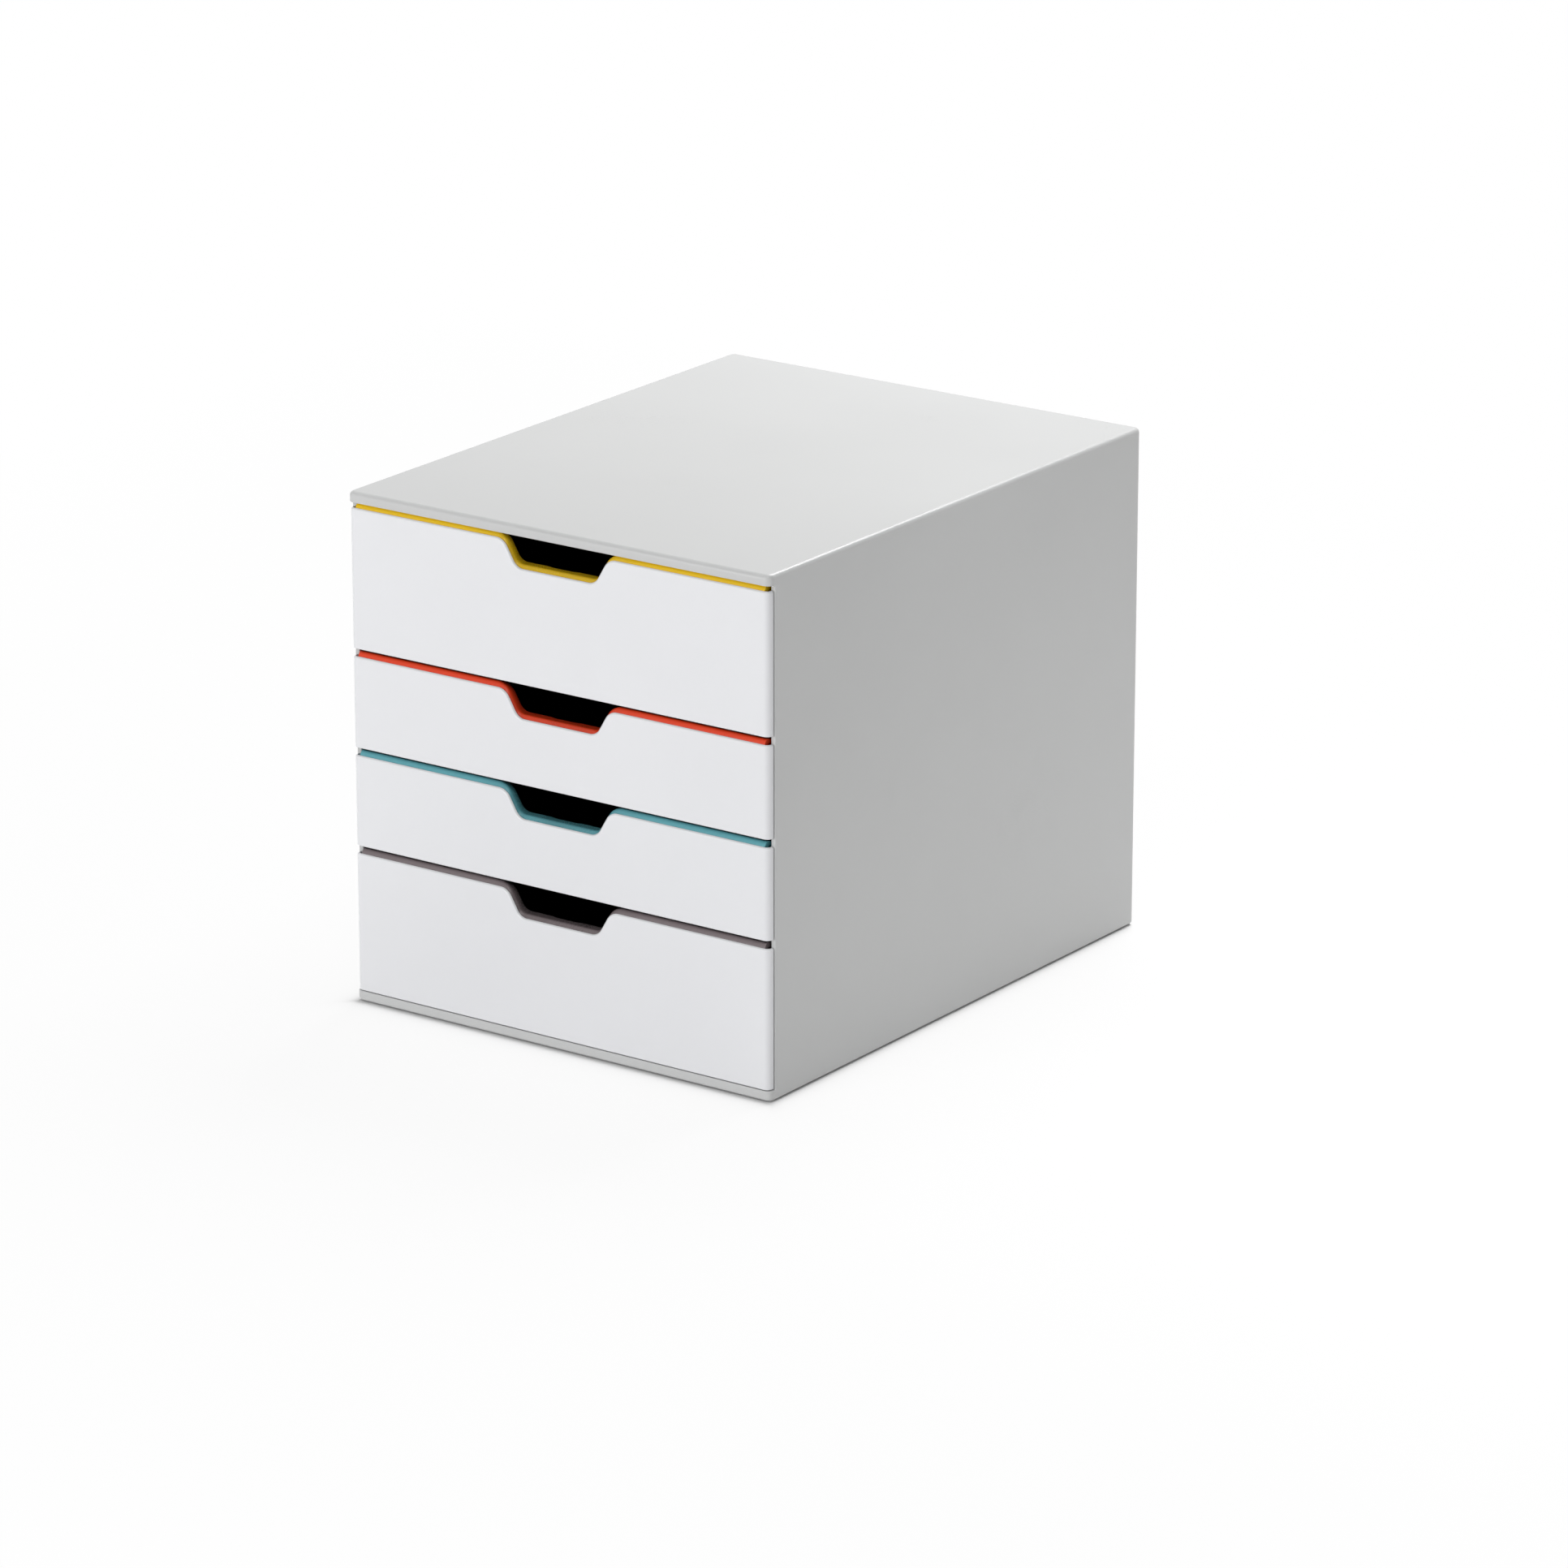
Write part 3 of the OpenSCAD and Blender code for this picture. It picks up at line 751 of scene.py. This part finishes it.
def plastic(name, colour, roughness, grain, depth, rub_and_shade_mask=None, drift=0.04, shine=0.5, notch_shade=0.0):
    """Moulded plastic. grain is its size and depth its height, in mm. The mask makes rubbed places
    smoother; the last argument darkens the colour under it, as painted shade.
    """
    material = bpy.data.materials.new(name)
    start = fresh_tree(material)
    place = start.node("ShaderNodeTexCoord", output="Object")
    flow = place.noise(FLOW_LUMPS, 3.0)
    paler = [min(channel * (1 + drift), 1) for channel in colour]
    deeper = [channel * (1 - drift) for channel in colour]
    shade = flow.tint((*deeper, 1), (*paler, 1))
    specks = place.noise(1 / (grain * MM), 3.0)
    finish = roughness + (flow - 0.5) * FLOW_ROUGHNESS + (specks - 0.5) * SPECK_ROUGHNESS
    if rub_and_shade_mask:
        rub_and_shade_marks = rub_and_shade_mask(place)
        finish = finish - rub_and_shade_marks * RUBBED_SMOOTH
        # Darken the colour towards near black under the mask: painted shade.
        if notch_shade:
            shade = (rub_and_shade_marks * notch_shade).tint(shade, NOTCH_SHADE_COLOUR)
    walls = start.node("ShaderNodeBump", {}, {
        "Strength": 1.0, "Distance": WAVE * MM, "Height": place.noise(WAVE_LUMPS, 1.0)})
    texture = start.node("ShaderNodeBump", {}, {
        "Strength": 1.0, "Distance": depth * MM, "Height": specks, "Normal": walls})
    shader = start.node("ShaderNodeBsdfPrincipled", {}, {
        "Base Color": shade, "Roughness": finish, "Specular IOR Level": shine, "Normal": texture})
    start.node("ShaderNodeOutputMaterial", {}, {"Surface": shader})
    print(name, "has", len(material.node_tree.nodes), "nodes")
    return material


def dress(piece, material):
    """Give a piece its material in every slot."""
    if not piece.material_slots:
        piece.data.materials.append(material)
    for place in piece.material_slots:
        place.material = material


# %% [markdown]
# ## Where things rub
#
# Fingers meet a drawer at its notch, always in the same spot, and polish it over the years.
# On the runners and the trays' flanges the drawers leave fine streaks that run the way they
# slide. Both are masks from 0 to 1 made from places in space: a soft ball round each notch,
# and noise that is stretched a long way along Y. On the trims the ball round each notch also
# sets where their colour is darkened: painted shade for the shade inside the notch.

# %% Masks for rubbed places
FINGER_DROP = 12.0
FINGER_SCALE = 12.0
FINGER_FADE = (0.25, 0.75)
STREAK_ACROSS = 900.0
STREAK_ALONG = 6.0
face_tops = [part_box(drawer + "_face")[1].z for drawer in DRAWERS]
notch_spots = [(0, cad_low.y, top - FINGER_DROP * MM) for top in face_tops]


def notch_rub_and_shade(place):
    """1 at the finger notches, fading to 0 some 60 mm away."""
    mask = 0.0
    for spot in notch_spots:
        away = place.node("ShaderNodeVectorMath", {"operation": "DISTANCE"}, {0: place, 1: spot}, 1)
        mask = mask + (1 - (away * FINGER_SCALE).ramp(*FINGER_FADE))
    return mask * place.noise(60.0, 2.0)


def streaked(place):
    """Thin streaks along the way that a drawer slides."""
    along = place.stretched(STREAK_ACROSS, STREAK_ALONG, STREAK_ACROSS)
    return along.noise(1.0, 2.0).ramp(0.45, 0.7)


print("notch spots in mm:", [[round(part / MM) for part in spot] for spot in notch_spots])

# %% [markdown]
# ## The colours
#
# The housing is a light grey and the faces are a white with a breath of blue. The trays are a
# dark plastic, made near black partly as painted shade, so that the notches look black. Each
# trim has its own strong colour. Colours in Blender are linear, which is why a light grey is
# written as 0.56 and not as 0.78.

# %% Dress every piece
housing_grey = plastic("housing_grey", (0.555, 0.560, 0.558), 0.30, 0.35, 0.010)
dress(housing, housing_grey)
panel_grey = plastic("panel_grey", (0.50, 0.505, 0.503), 0.38, 0.40, 0.012)
dress(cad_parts["rear_panel"], panel_grey)
runner_grey = plastic("runner_grey", (0.46, 0.465, 0.463), 0.42, 0.40, 0.010, streaked)
for part in ("left_runner_panel", "right_runner_panel"):
    dress(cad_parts[part], runner_grey)
face_white = plastic("face_white", (0.765, 0.770, 0.790), 0.34, 0.30, 0.006, notch_rub_and_shade, 0.02)
for plate in faces.values():
    dress(plate, face_white)
# Near black partly as painted shade: seen through the notches, the trays stand for the deep shade
# there.
tray_dark_and_shade = plastic("tray_dark_plastic_and_shade", (0.018, 0.018, 0.020), 0.45, 0.45, 0.014, streaked, 0.10)
for part in TRAYS:
    dress(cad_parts[part], tray_dark_and_shade)
TRIM_SHADES = {
    "yellow": (0.80, 0.51, 0.008), "red": (0.73, 0.052, 0.012),
    "teal": (0.106, 0.350, 0.400), "brown": (0.180, 0.148, 0.154),
}
for drawer, colour in TRIM_COLOURS.items():
    # Round the notches the trim's colour is darkened a little: painted shade for the shade inside the
    # notch. The same mask makes the trim a little smoother there.
    trim_plastic = plastic("trim_" + colour, TRIM_SHADES[colour], 0.30, 0.8, 0.004, notch_rub_and_shade,
                           shine=0.35, notch_shade=0.35)
    dress(trims[drawer], trim_plastic)
foot_rubber = plastic("foot_rubber", (0.022, 0.022, 0.024), 0.80, 0.60, 0.060, None, 0.15)
for part in FEET:
    dress(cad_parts[part], foot_rubber)

# %% [markdown]
# ## Floor and room
#
# The box stands on a plain white floor in a white room, and such a picture should show no
# horizon. Lighting the floor until it burns out would wash out the box as well. So close to
# the box the floor is real paint: it takes the shadow and throws light back onto the walls.
# With every centimetre from the box it turns more into pure white, but only for the camera and
# for mirrored rays. The room does the same: it lights the box dimly and is seen white.

# %% Lay the floor
FLOOR_REACH = 9000.0
FLOOR_R = 4000.0
FLOOR_T = 20.0
FADE = 2.5
NEAR_WHITE = 0.9
floor_plan = rounded_rectangle(FLOOR_REACH, FLOOR_REACH, FLOOR_R)
floor = skin("floor", [[(point.x, point.y, z) for point in floor_plan] for z in (-FLOOR_T, 0.0)])
print("floor", 2 * FLOOR_REACH * MM, "m wide")


# %% Paint the floor
def seen_directly(start):
    """1 for rays of the camera and for mirrored or refracted rays, 0 for scattered light."""
    rays = start.node("ShaderNodeLightPath")
    mirrored = start.math("MAXIMUM", rays.beside("Is Glossy Ray"), rays.beside("Is Transmission Ray"))
    return start.math("MAXIMUM", rays, mirrored)


floor_white = bpy.data.materials.new("floor_white")
start = fresh_tree(floor_white)
spot = start.node("ShaderNodeSeparateXYZ", {}, {0: start.node("ShaderNodeTexCoord", output="Object")})
beside = start.math("ABSOLUTE", spot) - HALF_W * MM
before = start.math("ABSOLUTE", spot.beside("Y")) - HALF_D * MM
away = start.math("MAXIMUM", start.math("MAXIMUM", beside, before), 0.0)
near = away * away
far_white = NEAR_WHITE + (1 - NEAR_WHITE) * away.ramp(0.1, 0.9)
whiter = near / (near + (FADE * MM) ** 2) * far_white
paint = start.node("ShaderNodeBsdfDiffuse", {}, {"Color": (0.90, 0.90, 0.90, 1)})
glow = start.node("ShaderNodeEmission", {}, {"Color": (1, 1, 1, 1), "Strength": 1.0})
both = start.node("ShaderNodeMixShader", {}, {0: seen_directly(start) * whiter, 1: paint, 2: glow})
start.node("ShaderNodeOutputMaterial", {}, {"Surface": both})
dress(floor, floor_white)
print("the floor's paint is half faded", FADE, "mm from the box")

# %% Make the room
ROOM_LEVEL = 0.33
world = bpy.data.worlds.new("room")
bpy.context.scene.world = world
start = fresh_tree(world)
room = start.node("ShaderNodeBackground", {}, {"Color": (1, 1, 1, 1), "Strength": ROOM_LEVEL})
white = start.node("ShaderNodeBackground", {}, {"Color": (1, 1, 1, 1), "Strength": 1.0})
sky = start.node("ShaderNodeMixShader", {}, {0: seen_directly(start), 1: room, 2: white})
start.node("ShaderNodeOutputWorld", {}, {"Surface": sky})
print("room level", ROOM_LEVEL)

# %% [markdown]
# ## Lamps
#
# Plain studio light comes from large soft sources, so that no shadow has a hard edge. A low
# lamp in front, a little to the left, brings the faces close to the written colours and
# reaches into the slots between them. A high one on the right softens what it leaves dark.
# The third hangs behind the box and near it, so the top is brightest at its rear edge. The
# last is weak and narrow: it only lights the floor on the right, and what the floor throws
# back lifts the foot of that side.

# %% Hang the lamps
def softbox(name, place, target, size, power, spread=180):
    """A square area lamp that looks at a target; metres, watts and degrees."""
    lamp = bpy.data.lights.new(name, "AREA")
    lamp.shape = "SQUARE"
    lamp.size = size
    lamp.energy = power
    lamp.spread = radians(spread)
    holder = bpy.data.objects.new(name, lamp)
    holder.location = place
    holder.rotation_euler = (Vector(target) - Vector(place)).to_track_quat("-Z", "Y").to_euler()
    holder.visible_camera = False
    bpy.context.scene.collection.objects.link(holder)
    print(name, "size", size, "m, power", power, "W")


softbox("lamp_low", (-0.8, -2.6, 0.45), (0, 0, 0.15), 0.8, 27.0)
softbox("lamp_high", (0.9, -1.9, 2.2), (0, 0, 0.15), 1.2, 14.0)
softbox("lamp_behind", (0.0, 0.75, 1.35), (0, 0.05, 0.3), 0.8, 16.0)
softbox("lamp_floor", (0.75, 0.1, 0.9), (0.75, 0.1, 0.0), 0.5, 1.15, 80)

# %% [markdown]
# ## Camera
#
# A long lens from more than four metres away keeps the edges of the box nearly parallel, as
# product pictures do. The camera stands to the right of the front and looks a little down,
# so front, right side and top all show.

# %% Set up the camera
EYE = Vector((2.27942, -3.18328, 1.39019))
AIM = Vector((0.02256, 0.0, 0.10888))
LENS = 170.522
SENSOR = 36.0
FAR = 60.0
camera = bpy.data.objects.new("camera", bpy.data.cameras.new("camera"))
camera.data.lens = LENS
camera.data.sensor_width = SENSOR
camera.data.clip_end = FAR
camera.location = EYE
camera.rotation_euler = (AIM - EYE).to_track_quat("-Z", "Y").to_euler()
bpy.context.scene.collection.objects.link(camera)
bpy.context.scene.camera = camera
bpy.context.scene.view_settings.view_transform = "Standard"
print("camera", round((AIM - EYE).length, 2), "m away, lens", LENS, "mm")

# %% [markdown]
# ## Size
#
# Dressing must not change the object's size.
